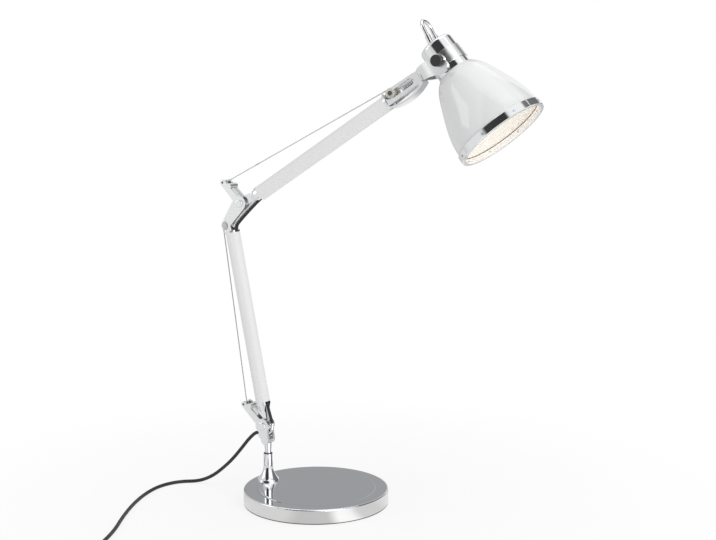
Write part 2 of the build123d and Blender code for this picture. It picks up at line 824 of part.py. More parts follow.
def bulb_profile(wall):
    """Half outline of the bulb, moved in by a wall."""
    start = socket_floor - socket_back + bulb_cap_l
    r = bulb_r - wall
    neck = bulb_neck_r - wall
    join = polar((bulb_mid, 0), r, 140)
    slant = (math.cos(math.radians(50)), math.sin(math.radians(50)))
    edges = [
        Line((start, 0), (start, neck)),
        Spline((start, neck), join, tangents=[(1, 0.05), slant]),
        ThreePointArc(join, (bulb_mid, r), (bulb_mid + r, 0)),
        Line((bulb_mid + r, 0), (start, 0)),
    ]
    return make_face(edges)


def make_bulb():
    """Round blown glass bulb with a waisted neck, open into its cap."""
    return revolve(bulb_profile(0), Axis.X) - revolve(bulb_profile(bulb_t), Axis.X)


def lean(part):
    """Tips a piece of the handle over the cap's top."""
    return Pos(-shell_top, 0, 0) * Rot(0, 0, -handle_lean) * Pos(shell_top, 0, 0) * part


def above_cap():
    """Half space below the top of the cap, for trimming what stands on it."""
    return block(-shell_top, shell_top, -99, 99, 99)


def make_handle():
    """Bar bent to a loop, standing on the cap."""
    base_x = -shell_top + 3
    bend_x = -shell_top - handle_h + handle_bar_r + handle_gap
    path = Wire([
        Line((base_x, 0, handle_gap), (bend_x, 0, handle_gap)),
        ThreePointArc((bend_x, 0, handle_gap), (bend_x - handle_gap, 0, 0), (bend_x, 0, -handle_gap)),
        Line((bend_x, 0, -handle_gap), (base_x, 0, -handle_gap)),
    ])
    return lean(tube(path, handle_bar_r)) - above_cap()


def make_sleeves():
    """Sleeves round the feet of the handle."""
    made = []
    for side in (1, -1):
        outer = Pos(0, 0, side * handle_gap) * rod(-shell_top - sleeve_l, -shell_top + 3, 0, sleeve_r)
        bore = Pos(0, 0, side * handle_gap) * rod(-2 * shell_top, 0, 0, handle_bar_r + slip_fit)
        made.append(lean(outer - bore) - above_cap())
    return Compound(children=made)


def make_button():
    """Push button through the top of the cap, with a skirt under it."""
    under = -shell_top + shell_t + side_gap
    stem = rod(-shell_top - button_proud, under + button_skirt_t, 0, button_r)
    stem = fillet(stem.edges().group_by(Axis.X)[0], 0.8)
    return stem + rod(under, under + button_skirt_t, 0, button_r + button_skirt)


def make_switch():
    """Switch body on the back of the lampholder, under the button."""
    return rod(-socket_back - switch_l, -socket_back, 0, switch_r)


# Cables and cord

def make_shoulder_cable():
    """Flexible lead from the lower tube down past the eye and under it to the grommet."""
    lead = lower_frame.from_local_coords(Vector(tube_start + 1, cable_y, 0))
    low = lower_frame.from_local_coords(Vector(tube_start - 8, cable_y - 0.3, 0))
    a = stem_frame.to_local_coords(lead)
    b = stem_frame.to_local_coords(low)
    points = [(a.X, a.Y), (b.X, b.Y)]
    for angle in (18.0, -28.5, -69.5):
        points.append(polar((0, 0), grommet_drop / math.cos(math.radians(20.5)), angle))
    points.append((grommet_start, -grommet_drop))
    return route([(x, y, 0) for x, y in points], cable_r, "shoulder cable")


def make_grommet():
    """Bush in the fork's bridge that the cord leaves through."""
    return rod(grommet_start - grommet_l, grommet_start, -grommet_drop, grommet_r)


def make_elbow_cable():
    """Flexible lead across the inside of the elbow."""
    start = lower_frame.from_local_coords(Vector(lower_tube_end - 1, cable_y, 0))
    near = lower_frame.from_local_coords(Vector(lower_tube_end + 7, cable_y - 0.8, 0))
    e = lower_frame.from_local_coords(Vector(*elbow, 0))
    far = upper_frame.from_local_coords(Vector(tube_start - 7, cable_y - 0.6, 0))
    end = upper_frame.from_local_coords(Vector(tube_start + 1, cable_y, 0))
    points = [(start.X, start.Z), (near.X, near.Z), (e.X - 2.5, e.Z - 21.0), (e.X + 10.6, e.Z - 8.2)]
    points += [(far.X, far.Z), (end.X, end.Z)]
    return route([(x, 0, z) for x, z in points], cable_r, "elbow cable")


def cord_exit():
    """Start of the cord at the grommet, in the row."""
    v = stem_frame.from_local_coords(Vector(grommet_start - grommet_l, -grommet_drop, 0))
    return (v.X, v.Y, v.Z)


def coil_station(angle, r, z, slope, rise):
    """Point and direction of the coil at an angle."""
    a = math.radians(angle)
    out = Vector(math.cos(a), math.sin(a), 0)
    along = Vector(-math.sin(a), math.cos(a), 0)
    way = along * r + out * slope + Vector(0, 0, rise)
    return (Vector(coil_x, coil_y, z) + out * r, way.normalized())


def coil_stations():
    """Half-turn stations: spiral in on the floor, climb while reversing, spiral out on top."""
    pitch = 2 * cord_r + coil_gap
    low = cord_r + run_fit
    slope = pitch / (2 * math.pi)
    half_turns = 2 * coil_turns
    inner = coil_r - pitch / 2 * half_turns
    stations = []
    for k in range(half_turns + 1):
        stations.append(coil_station(coil_start + 180 * k, coil_r - pitch / 2 * k, low, -slope, 0))
    turn = coil_start + 180 * half_turns
    stations.append(coil_station(turn + 90, inner - coil_dip, low + pitch / 2, 0, 1.5 * pitch / math.pi))
    for k in range(half_turns):
        stations.append(coil_station(turn + 180 + 180 * k, inner + pitch / 2 * k, low + pitch, slope, 0))
    return stations


def make_coil():
    """Cord wound in two layers."""
    path = winding(coil_stations(), 2 * cord_r, coil_tail)
    print("coil least gap", round(least_gap(path, cord_r, 2 * coil_r), 2), "length", round(path.length, 1))
    return tube(path, cord_r)


def make_cord():
    """Free cord from the grommet down to the table and forward to the coil."""
    first, way = coil_stations()[0]
    join = first - way * (2 * cord_r)
    back = join - way * 34.0
    z = cord_r + run_fit
    start = cord_exit()
    points = [start, (start[0] - 7.2, 0, start[2]), (start[0] - 13.7, 0, start[2] - 3.1), (-100.8, 0, 67.2)]
    points += [(-109.6, 0, 54.4), (-123.8, 0, 37.8), (-138.6, -0.3, 23.9), (-155.0, -1.5, 10.8), (-174.0, -5.0, z)]
    points += [(-196.0, -18.0, z), (-207.0, -46.0, z), (-203.0, -82.0, z), (-190.0, -124.0, z)]
    points += [(-170.0, -170.0, z), (-148.0, -213.0, z), (back.X, back.Y, z), (join.X, join.Y, z)]
    return route(points, cord_r, "mains cord")


def plug_frame():
    """Plane at the end of the coil's tail: x along the plug, z up."""
    last, way = coil_stations()[-1]
    origin = last + way * coil_tail
    return Plane(origin=origin, x_dir=way, z_dir=(0, 0, 1))


def make_plug():
    """Flat two-pin plug body that swells from the cord to the pins."""
    neck = Plane.YZ * Circle(plug_collar_r)
    corner = plug_h * 0.3
    mid = Plane.YZ.offset(plug_neck_l) * RectangleRounded(plug_w * 0.55, plug_h * 0.8, corner)
    wide = Plane.YZ.offset(plug_neck_l * 2) * RectangleRounded(plug_w, plug_h, corner)
    face = Plane.YZ.offset(plug_body_l) * RectangleRounded(plug_w * 0.94, plug_h * 0.92, corner * 0.9)
    body = loft([neck, mid]) + loft([mid, wide]) + loft([wide, face])
    return plug_frame() * body


def make_plug_pins():
    """Two round pins."""
    made = []
    for side in (1, -1):
        pin = Pos(0, side * plug_pin_gap / 2, 0) * rod(plug_body_l, plug_body_l + plug_pin_out, 0, plug_pin_r)
        made.append(plug_frame() * fillet(pin.edges().group_by(Axis.X)[-1], plug_pin_r * 0.6))
    return Compound(children=made)


nodes = {
    "base_cover": make_cover(),
    "base_weight": make_weight(),
    "foot_pad": Cylinder(pad_r, pad_h, align=MIN),
    "collar": make_collar(),
    "collar_nut": make_nut(),
    "swivel_bush": make_bush(),
    "stem_fork": make_stem(),
    "shoulder_bolt": stem_frame * make_bolt((0, 0)),
    "shoulder_anchor_pin": stem_frame * make_anchor(lower_tip),
    "shoulder_bumper": stem_frame * make_bumper(lower_bump),
    "cord_grommet": stem_frame * make_grommet(),
    "shoulder_cable": stem_frame * make_shoulder_cable(),
    "lower_knuckle": lower_frame * make_knuckle(lower_tube_r),
    "lower_tube": lower_frame * make_tube(lower_tube_r, lower_tube_l),
    "elbow_bracket": lower_frame * make_elbow_bracket(),
    "elbow_bolt": lower_frame * make_bolt(elbow),
    "elbow_anchor_pin": lower_frame * make_anchor(upper_tip),
    "elbow_bumper": lower_frame * make_bumper(upper_bump),
    "elbow_cable": make_elbow_cable(),
    "lower_pulley": lower_frame * (Pos(*lower_pulley_at, 0) * make_pulley()),
    "lower_pulley_axle": lower_frame * make_axle(lower_pulley_at),
    "lower_spring": lower_frame * make_inner_spring(tube_start + plug_l),
    "lower_wire": lower_frame * make_lower_wire(),
    "upper_knuckle": upper_frame * make_knuckle(upper_tube_r),
    "upper_tube": upper_frame * make_tube(upper_tube_r, upper_tube_l),
    "head_bracket": upper_frame * make_head_bracket(),
    "bracket_channel": upper_frame * make_channel(),
    "upper_pulley": upper_frame * (Pos(*upper_pulley_at, 0) * make_pulley()),
    "upper_pulley_axle": upper_frame * make_axle(upper_pulley_at),
    "upper_spring": upper_frame * make_spring(),
    "upper_wire": upper_frame * make_upper_wire(),
    "head_ring": head_frame * make_ring(),
    "lampholder_shell": head_frame * make_shell(),
    "tilt_pin": head_frame * make_tilt_pin(),
    "tilt_knob": head_frame * make_knob(),
    "shade": head_frame * make_shade(),
    "rim_ring": head_frame * make_rim(),
    "rim_screws": head_frame * make_rim_screws(),
    "socket": head_frame * make_socket(),
    "bulb_cap": head_frame * make_bulb_cap(),
    "bulb_glass": head_frame * make_bulb(),
    "handle_loop": head_frame * make_handle(),
    "handle_sleeves": head_frame * make_sleeves(),
    "switch_button": head_frame * make_button(),
    "switch_body": head_frame * make_switch(),
    "mains_cord": make_cord(),
    "cord_coil": make_coil(),
    "plug_body": make_plug(),
    "plug_pins": make_plug_pins(),
}

os.makedirs("parts", exist_ok=True)
for name, part in nodes.items():
    export_step(part, f"parts/{name}.step")
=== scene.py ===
import math

import bmesh
import bpy
import numpy as np
from mathutils import Matrix


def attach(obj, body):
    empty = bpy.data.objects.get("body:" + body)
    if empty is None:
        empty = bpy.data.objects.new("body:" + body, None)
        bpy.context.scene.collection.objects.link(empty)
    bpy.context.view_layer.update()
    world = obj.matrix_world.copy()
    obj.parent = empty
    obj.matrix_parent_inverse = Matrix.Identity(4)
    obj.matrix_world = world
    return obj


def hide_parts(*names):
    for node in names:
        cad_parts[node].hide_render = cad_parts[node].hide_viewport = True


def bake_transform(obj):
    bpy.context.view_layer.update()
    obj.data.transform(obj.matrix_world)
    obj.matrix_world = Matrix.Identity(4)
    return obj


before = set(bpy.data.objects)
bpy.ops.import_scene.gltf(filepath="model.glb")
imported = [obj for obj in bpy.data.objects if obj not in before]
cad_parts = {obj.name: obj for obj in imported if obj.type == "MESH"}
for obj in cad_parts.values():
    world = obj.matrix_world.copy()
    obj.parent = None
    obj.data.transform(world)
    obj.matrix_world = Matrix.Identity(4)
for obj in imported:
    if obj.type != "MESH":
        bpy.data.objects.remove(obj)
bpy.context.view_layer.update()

mm = 0.001


def placed(name, data):
    """Object that holds the data, linked into the scene."""
    made = bpy.data.objects.new(name, data)
    bpy.context.scene.collection.objects.link(made)
    return made


# Camera at the photograph's viewing angle

eye = placed("camera", bpy.data.cameras.new("camera"))
eye.location = (0.7872, -1.3636, 0.5119)
eye.rotation_euler = (math.radians(90 - 7.956), 0, math.radians(28.092))
eye.data.sensor_width = 36
eye.data.lens = 65.53
bpy.context.scene.camera = eye


# Shapes

def skin(name, grid, closed=False):
    """Mesh over a grid of points: rows follow the piece, columns go round it, and each open end closes
    with a fan to the middle of its own ring."""
    rows, columns = grid.shape[:2]
    points = grid.reshape(-1, 3)
    row = np.arange(rows if closed else rows - 1)[:, None]
    column = np.arange(columns)[None, :]
    after = (row + 1) % rows
    beside = (column + 1) % columns
    corners = [row * columns + column, row * columns + beside,
               after * columns + beside, after * columns + column]
    faces = np.stack(np.broadcast_arrays(*corners), -1).reshape(-1, 4).tolist()
    if not closed:
        middles = np.stack([grid[0].mean(0), grid[-1].mean(0)])
        around = np.arange(columns)
        first = np.stack([np.full(columns, len(points)), np.roll(around, -1), around], -1)
        last = np.stack([np.full(columns, len(points) + 1), around, np.roll(around, -1)], -1)
        last[:, 1:] += (rows - 1) * columns
        faces += first.tolist() + last.tolist()
        points = np.concatenate([points, middles])
    mesh = bpy.data.meshes.new(name)
    mesh.from_pydata(points.tolist(), [], faces)
    shell = bmesh.new()
    shell.from_mesh(mesh)
    bmesh.ops.remove_doubles(shell, verts=shell.verts, dist=1e-7)
    bmesh.ops.recalc_face_normals(shell, faces=shell.faces)
    shell.to_mesh(mesh)
    shell.free()
    mesh.shade_smooth()
    return placed(name, mesh)


def unit(v):
    """Vectors divided by their own lengths."""
    return v / np.linalg.norm(v, axis=-1, keepdims=True)


def tube(path, radius, up, sides=20):
    """Round tube: every path point p carries the ring p + r (cos a . side + sin a . rise),
    square to the path."""
    along = unit(np.gradient(path, axis=0))
    side = unit(np.cross(along, up))
    rise = np.cross(side, along)
    a = np.linspace(0, 2 * np.pi, sides, endpoint=False)[None, :, None]
    r = np.broadcast_to(np.asarray(radius, float), len(path))[:, None, None]
    return path[:, None] + r * (np.cos(a) * side[:, None] + np.sin(a) * rise[:, None])


def turned(profile, foot, axis, up, sides=48):
    """Surface of revolution: a (distance, radius) profile carried round an axis from its foot."""
    along = unit(np.asarray(axis, float))
    side = unit(np.cross(along, up))
    rise = np.cross(side, along)
    a = np.linspace(0, 2 * np.pi, sides, endpoint=False)[None, :, None]
    p = np.asarray(profile, float)
    ring = np.cos(a) * side + np.sin(a) * rise
    return np.asarray(foot, float) + p[:, :1, None] * along + p[:, 1:, None] * ring


def spline_line(name, points, steps):
    """Points along the NURBS spline whose control points are the route's."""
    curve = bpy.data.curves.new(name, "CURVE")
    curve.dimensions = "3D"
    spline = curve.splines.new("NURBS")
    spline.points.add(len(points) - 1)
    spline.points.foreach_set("co", np.c_[points, np.ones(len(points))].ravel())
    spline.order_u = 3
    spline.use_endpoint_u = True
    spline.resolution_u = steps
    holder = placed(name, curve)
    bpy.context.view_layer.update()
    mesh = bpy.data.meshes.new_from_object(holder)
    line = np.empty(3 * len(mesh.vertices))
    mesh.vertices.foreach_get("co", line)
    bpy.data.objects.remove(holder)
    bpy.data.meshes.remove(mesh)
    return line.reshape(-1, 3)


def rounded_strip(count):
    """Unit outline of a strip with rounded corners: a circle's cosine and sine raised to a power
    well under 1, signs kept."""
    power = 0.35
    a = np.linspace(0, 2 * np.pi, count, endpoint=False)
    return [np.sign(wave) * np.abs(wave) ** power for wave in (np.cos(a), np.sin(a))]


def arm_point(pivot, angle, x, y):
    """Position of a point given along and beside an arm that leaves its pivot at an angle."""
    a = math.radians(angle)
    return np.array([pivot[0] + x * math.cos(a) - y * math.sin(a), 0.0,
                     pivot[1] + x * math.sin(a) + y * math.cos(a)])


# Pivots and arm angles, millimetres in the plane of the arms

shoulder = (-74.0, 89.0)
lower_angle = 101.2
elbow = (-104.056, 369.504)
upper_angle = 32.4


# Mains cord: out of the grommet, down to the table, forward, and wound into a tied coil

cord_d = 4.4
on_table = 2.25
coil_middle = np.array([-80.0, -280.0])
coil_r, coil_pitch, coil_rise, coil_dip, coil_start = 36.5, 4.9, 4.9, 1.2, 208.0
coil_slope = 0.78
half_turns = 8
half_turn_points = 8
coil_inner_r = coil_r - half_turns * coil_pitch / 2
coil_end_r = coil_r - coil_pitch / 2
coil_lead_in = 34.0
coil_tail = 28.0


def coil_route():
    """Spiral in on the table, half a turn up, spiral out on top. With s in half turns, n of them in
    a layer, and the angle 208 + 180 s degrees: r = R - s p / 2 up to s = n, then
    r0 - d sin(pi (s - n)), then r0 + (s - n - 1) p / 2. The control points stand out by one over the
    cosine of half a step, so that the spline itself runs at r."""
    s = np.arange(2 * half_turns * half_turn_points + 1) / half_turn_points
    climb = np.clip(s - half_turns, 0, 1)
    inwards = coil_r - s * coil_pitch / 2
    outwards = coil_inner_r + np.maximum(s - half_turns - 1, 0) * coil_pitch / 2
    r = np.where(s < half_turns, inwards, outwards) - coil_dip * np.sin(np.pi * climb)
    r = r / math.cos(math.pi / half_turn_points / 2)
    a = np.radians(coil_start + 180 * s)
    z = on_table + coil_rise * climb ** 2 * (3 - 2 * climb)
    return np.stack([coil_middle[0] + r * np.cos(a), coil_middle[1] + r * np.sin(a), z], -1)


def coil_way(r, slope):
    """Direction of the cord where the coil starts or ends: along the turn, leaning by its slope."""
    a = math.radians(coil_start)
    along = np.array([-math.sin(a), math.cos(a), 0]) * r
    return unit(along + np.array([math.cos(a), math.sin(a), 0]) * slope)


def coil_point(r, z):
    """Point of the coil at its starting angle."""
    a = math.radians(coil_start)
    return np.array([coil_middle[0] + r * math.cos(a), coil_middle[1] + r * math.sin(a), z])


coil_line = coil_route()
way_in = coil_way(coil_r, -coil_slope)
way_out = coil_way(coil_end_r, coil_slope)
coil_join = coil_point(coil_r, on_table) - way_in * cord_d
coil_end = coil_point(coil_end_r, on_table + coil_rise)
plug_foot = coil_end + way_out * coil_tail
cord_route = np.concatenate([
    np.array([
        (-81.0, 0, 78.4), (-84.8, 0, 78.0), (-89.6, 0, 76.4), (-99.2, 0, 67.2), (-109.6, 0, 54.4),
        (-123.8, 0, 37.8), (-138.6, -0.3, 23.9), (-155.0, -1.5, 10.8), (-174.0, -5.0, on_table),
        (-196.0, -18.0, on_table), (-207.0, -46.0, on_table), (-203.0, -82.0, on_table),
        (-190.0, -124.0, on_table), (-170.0, -170.0, on_table), (-148.0, -213.0, on_table),
    ]),
    [coil_join - way_in * coil_lead_in, coil_join],
    coil_line,
    [coil_end + way_out * coil_tail / 2, plug_foot],
]) * mm
cord_line = spline_line("cord_route", cord_route, 8)
cord = skin("cord", tube(cord_line, cord_d / 2 * mm, (0, 0, 1)))
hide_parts("mains_cord", "cord_coil")
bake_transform(cord)


tie_angle, tie_out, tie_z = 120.0, 26.0, 5.0
tie_w, tie_t = 5.0, 0.45
tie_half_across, tie_half_height = 13.6, 4.55


def coil_tie():
    """Flat strap round the coil: a rounded-rectangle loop in the upright plane through the coil's middle,
    carried the strap's width along the turns."""
    across, height = rounded_strip(64)
    a = math.radians(tie_angle)
    out = np.array([math.cos(a), math.sin(a), 0])
    turn = np.array([-out[1], out[0], 0])
    middle = np.array([coil_middle[0], coil_middle[1], tie_z]) + out * tie_out
    loops = []
    for grow, lean in ((0.0, -tie_w / 2), (0.0, tie_w / 2), (tie_t, tie_w / 2), (tie_t, -tie_w / 2)):
        loop = middle + (across * (tie_half_across + grow))[:, None] * out
        loop = loop + (height * (tie_half_height + grow))[:, None] * np.array([0, 0, 1])
        loops.append(loop + turn * lean)
    return skin("cord_tie", np.stack(loops, 1) * mm, closed=True)


cord_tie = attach(coil_tie(), "base")


relief_l, relief_r, relief_taper = 22.0, 3.4, 0.8
relief_rib, relief_rib_pitch, relief_mouth_r = 0.22, 3.0, 2.3


def plug_relief():
    """Ribbed, tapering sleeve on the tail of the cord: the radius falls evenly from the plug, a cosine
    of the distance adds the ribs, and the mouth closes on the cord."""
    x = np.linspace(0, relief_l, 112)
    r = relief_r - relief_taper * x / relief_l + relief_rib * np.cos(2 * np.pi * x / relief_rib_pitch)
    r[-1] = relief_mouth_r
    profile = np.stack([x, r], -1)
    return skin("plug_relief", turned(profile * mm, plug_foot * mm, -way_out, (0, 0, 1), 28))


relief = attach(plug_relief(), "base")


# Short leads across the shoulder and the elbow

lead_d = 3.8
lead_y = -8.6


def joint_lead(name, points, node):
    """Round lead along the spline through the joint's own route, standing in for the hidden cable node; it is
    left in place, attached to no body.
    """
    line = spline_line(name + "_route", np.array(points) * mm, 12)
    piece = skin(name, tube(line, lead_d / 2 * mm, (0, 1, 0)))
    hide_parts(node)
    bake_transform(piece)
    return piece, line


lead_under = 10.6
under_eye = lead_under / math.cos(math.radians(20.5))
shoulder_points = [arm_point(shoulder, 0, -0.5, -lead_under)]
shoulder_points += [arm_point(shoulder, turn, under_eye, 0) for turn in (-69.5, -28.5, 18.0)]
shoulder_points += [arm_point(shoulder, lower_angle, 22.0, lead_y - 0.3),
                    arm_point(shoulder, lower_angle, 31.0, lead_y)]
shoulder_lead, shoulder_line = joint_lead("shoulder_lead", shoulder_points, "shoulder_cable")
elbow_points = [arm_point(shoulder, lower_angle, 246.0, lead_y),
                arm_point(shoulder, lower_angle, 254.0, lead_y - 0.8),
                np.array([elbow[0] - 2.5, 0, elbow[1] - 21.0]),
                np.array([elbow[0] + 10.6, 0, elbow[1] - 8.2]),
                arm_point(elbow, upper_angle, 23.0, lead_y - 0.6),
                arm_point(elbow, upper_angle, 31.0, lead_y)]
elbow_lead, elbow_line = joint_lead("elbow_lead", elbow_points, "elbow_cable")

guide_share, guide_r = 0.6, 2.3
guide_mouth = (2.35, 2.6, 2.7, 2.7, 2.5, 2.0)
rail_aside, rail_r = 3.5, 1.3


def lead_guide():
    """Bright guide sleeve on the lower part of the shoulder lead: the lead's own line with an even radius,
    a bead near its mouth, and a mouth that closes on the lead."""
    line = shoulder_line[:round(guide_share * len(shoulder_line))]
    radius = np.full(len(line), guide_r)
    radius[-len(guide_mouth):] = guide_mouth
    piece = skin("lead_guide", tube(line, radius * mm, (0, 1, 0), 28))
    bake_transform(piece)
    return piece


guide = lead_guide()


def lead_rail():
    """Bright rail beside the elbow lead: the lead's own line moved square to itself towards the pivot,
    with a round section. It stops short of the lead's ends."""
    towards = np.cross(unit(np.gradient(elbow_line, axis=0)), (0, 1, 0))
    line = (elbow_line + towards * rail_aside * mm)[len(elbow_line) // 9:-len(elbow_line) // 12]
    piece = skin("lead_rail", tube(line, rail_r * mm, (0, 1, 0), 24))
    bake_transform(piece)
    return piece


rail = lead_rail()


# Balance wires: an eye on the lever's pin, a straight run to the pulley, and the bend over it

wire_d = 1.4
wire_eye_r = 2.4
wire_bend_r = 5.4


def touch(point, middle, r):
    """Where the line from a point touches a circle on its left side, both in the plane of the arms."""
    reach = math.dist(point, middle)
    turn = math.atan2(point[1] - middle[1], point[0] - middle[0]) - math.acos(r / reach)
    return (middle[0] + r * math.cos(turn), middle[1] + r * math.sin(turn))


def eased(w):
    """Place t from 0 to 1 at which the smooth step 3 t^2 - 2 t^3 has the value w."""
    return 0.5 - math.sin(math.asin(1 - 2 * w) / 3)


def taut_run(name, node, bodies, pin, on, shares, follow):
    """Straight wire in lengths between shares of its run. A length whose eased follow part grows along it is
    left in place, attached to no body; any other length rides on the second body."""
    begin = np.array([pin[0], 0, pin[1]])
    run = np.array([on[0], 0, on[1]]) - begin
    made = []
    for k in range(len(shares) - 1):
        rows = np.linspace(shares[k], shares[k + 1], 24)[:, None]
        piece = skin(f"{name}_{k + 1}", tube((begin + rows * run) * mm, wire_d / 2 * mm, (0, 1, 0), 12))
        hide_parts(node)
        low, high = eased(follow[k]), eased(follow[k + 1])
        if high > low:
            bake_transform(piece)
        else:
            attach(piece, bodies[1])
        made.append(piece)
    return made


def wire_eye(name, pin, body):
    """Ring round the lever's pin: a circle carrying a round section."""
    a = np.linspace(0, 2 * np.pi, 49)[:-1]
    path = np.stack([pin[0] + wire_eye_r * np.cos(a), 0 * a, pin[1] + wire_eye_r * np.sin(a)], -1)
    b = np.linspace(0, 2 * np.pi, 12, endpoint=False)[None, :, None]
    out = np.stack([np.cos(a), 0 * a, np.sin(a)], -1)[:, None]
    grid = path[:, None] + wire_d / 2 * (np.cos(b) * out + np.sin(b) * np.array([0, 1.0, 0]))
    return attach(skin(name, grid * mm, closed=True), body)


def over_pulley(name, middle, on, off, last, body):
    """Wire round the pulley from where the run meets it to where it leaves, then straight to its spring."""
    a = math.atan2(on[1] - middle[1], on[0] - middle[0])
    b = math.atan2(off[1] - middle[1], off[0] - middle[0])
    b = b - 2 * math.pi if b > a else b
    t = np.linspace(a, b, 40)
    bend = np.stack([middle[0] + wire_bend_r * np.cos(t), 0 * t, middle[1] + wire_bend_r * np.sin(t)], -1)
    rest = np.linspace(0, 1, 12)[1:, None]
    straight = bend[-1] + rest * (np.array([last[0], 0, last[1]]) - bend[-1])
    path = np.concatenate([bend, straight]) * mm
    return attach(skin(name, tube(path, wire_d / 2 * mm, (0, 1, 0), 12)), body)


def balance_wire(name, node, bodies, pin, middle, off, last, shares, follow):
    """The eye, the run and the bend of one wire."""
    on = touch(pin, middle, wire_bend_r)
    made = [wire_eye(name + "_eye", pin, bodies[0])]
    made.append(over_pulley(name + "_bend", middle, on, off, last, bodies[1]))
    for piece in made:
        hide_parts(node)
    return made + taut_run(name + "_run", node, bodies, pin, on, shares, follow)


def flat(point):
    """A point's two numbers in the plane of the arms."""
    return (float(point[0]), float(point[2]))


lower_lever_angle, lower_lever_l = 137.0, 37.0
upper_lever_angle, upper_lever_l = 134.0, 35.0
pulley_side, lower_pulley_at, upper_pulley_at = 4.2, 257.0, 247.5
lower_spring_at = 152.0
spring_hook = (261.6, 2.9)

lower_pin = flat(arm_point(shoulder, lower_lever_angle, lower_lever_l, 0))
lower_pulley = flat(arm_point(shoulder, lower_angle, lower_pulley_at, pulley_side))
lower_off = flat(arm_point(shoulder, lower_angle, lower_pulley_at, pulley_side - wire_bend_r))
lower_last = flat(arm_point(shoulder, lower_angle, lower_spring_at, pulley_side - wire_bend_r))
lower_wire = balance_wire("lower_balance", "lower_wire", ("stem", "lower_arm"), lower_pin, lower_pulley,
                          lower_off, lower_last, shares=(0.0, 0.04, 0.1, 0.22, 0.5, 1.0),
                          follow=(0.0, 0.45, 0.68, 0.83, 0.95, 1.0))

upper_pin = flat(arm_point(elbow, upper_lever_angle, upper_lever_l, 0))
upper_pulley = flat(arm_point(elbow, upper_angle, upper_pulley_at, pulley_side))
hook_x, hook_y = spring_hook[0] - upper_pulley_at, spring_hook[1] - pulley_side
hook_lean = math.atan2(hook_y, hook_x) + math.acos(wire_bend_r / math.hypot(hook_x, hook_y))
upper_off = flat(arm_point(elbow, upper_angle, upper_pulley_at + wire_bend_r * math.cos(hook_lean),
                           pulley_side + wire_bend_r * math.sin(hook_lean)))
upper_last = flat(arm_point(elbow, upper_angle, *spring_hook))
upper_wire = balance_wire("upper_balance", "upper_wire", ("lower_arm", "upper_arm"), upper_pin, upper_pulley,
                          upper_off, upper_last, shares=(0.0, 0.2, 1.0), follow=(0.0, 1.0, 1.0))


# Inside of the rim: painted liner, a thin ring of painted shadow in the gap above it, and the tips of the
# screws

head_pivot = np.array([174.2215, 0, 541.8408])
head_lean = math.radians(50)
head_way = np.array([math.cos(head_lean), 0, -math.sin(head_lean)])
rim_in_r = 51.8
shade_edge = 99.5
screw_count = 8
tip_past_edge, tip_sunk, tip_h, tip_r, tip_flat_r = 3.8, 0.3, 0.9, 1.2, 0.01


def rim_band(name, start, stop, depth):
    """Thin band on the rim's inner face: a rounded strip carried round the axis of the shade."""
    across, height = rounded_strip(32)
    along = (start + stop) / 2 + (stop - start) / 2 * across
    r = rim_in_r - depth / 2 + depth / 2 * height
    grid = turned(np.stack([along, r], -1) * mm, head_pivot * mm, head_way, (0, 1, 0), 128)
    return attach(skin(name, grid, closed=True), "head")


def screw_tip(name, angle):
    """Domed end of a rim screw: a quarter ellipse turned about the screw's own line, pointing in to the
    axis of the shade."""
    t = np.linspace(0, np.pi / 2, 8)
    out = math.cos(angle) * np.cross(head_way, (0, 1, 0)) + math.sin(angle) * np.array([0, 1.0, 0])
    foot = head_pivot + head_way * (shade_edge + tip_past_edge) + out * (rim_in_r - tip_sunk)
    profile = np.stack([tip_h * np.sin(t), tip_r * np.cos(t) + tip_flat_r], -1)
    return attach(skin(name, turned(profile * mm, foot * mm, -out, head_way, 20)), "head")


rim_liner = rim_band("rim_liner", start=shade_edge + 1.1, stop=shade_edge + 7.9, depth=0.4)
# Painted shadow: a thin dark ring laid in the gap between the rim and the shade
rim_gap_shadow = rim_band("rim_gap_shadow", start=shade_edge + 0.05, stop=shade_edge + 1.05, depth=0.5)
screw_tips = [screw_tip(f"screw_tip_{k + 1}", 2 * math.pi * k / screw_count) for k in range(screw_count)]


# Finishes

def surface(name, colour, metal, rough):
    """Material with one main shader; returns the material, its node tree and the shader."""
    made = bpy.data.materials.new(name)
    made.use_nodes = True
    shader = made.node_tree.nodes["Principled BSDF"]
    shader.inputs["Base Color"].default_value = (*colour, 1)
    shader.inputs["Metallic"].default_value = metal
    shader.inputs["Roughness"].default_value = rough
    return made, made.node_tree, shader


def grain(tree, scale, stretch=(1, 1, 1), detail=4.0):
    """Noise over the piece's own coordinates, stretched along an axis for brushed or drawn marks."""
    place = tree.nodes.new("ShaderNodeTexCoord")
    fit = tree.nodes.new("ShaderNodeMapping")
    fit.inputs["Scale"].default_value = stretch
    noise = tree.nodes.new("ShaderNodeTexNoise")
    noise.inputs["Scale"].default_value = scale
    noise.inputs["Detail"].default_value = detail
    tree.links.new(place.outputs["Object"], fit.inputs["Vector"])
    tree.links.new(fit.outputs["Vector"], noise.inputs["Vector"])
    return noise.outputs["Fac"]


def spread(tree, value, low, high, lowest=0.3, highest=0.7):
    """Map a varying value from its usual range to another range."""
    node = tree.nodes.new("ShaderNodeMapRange")
    for name, number in (("From Min", lowest), ("From Max", highest), ("To Min", low), ("To Max", high)):
        node.inputs[name].default_value = number
    tree.links.new(value, node.inputs["Value"])
    return node.outputs["Result"]


def colours_of(sockets):
    """The colour sockets among those of a node."""
    return [socket for socket in sockets if socket.type == "RGBA"]


def mixed(tree, value, one, other):
    """Colour that goes from one to the other with a varying value. Each is plain or comes from a node."""
    node = tree.nodes.new("ShaderNodeMix")
    node.data_type = "RGBA"
    tree.links.new(value, node.inputs["Factor"])
    for socket, colour in zip(colours_of(node.inputs), (one, other)):
        if isinstance(colour, tuple):
            socket.default_value = (*colour, 1)
        else:
            tree.links.new(colour, socket)
    return colours_of(node.outputs)[0]


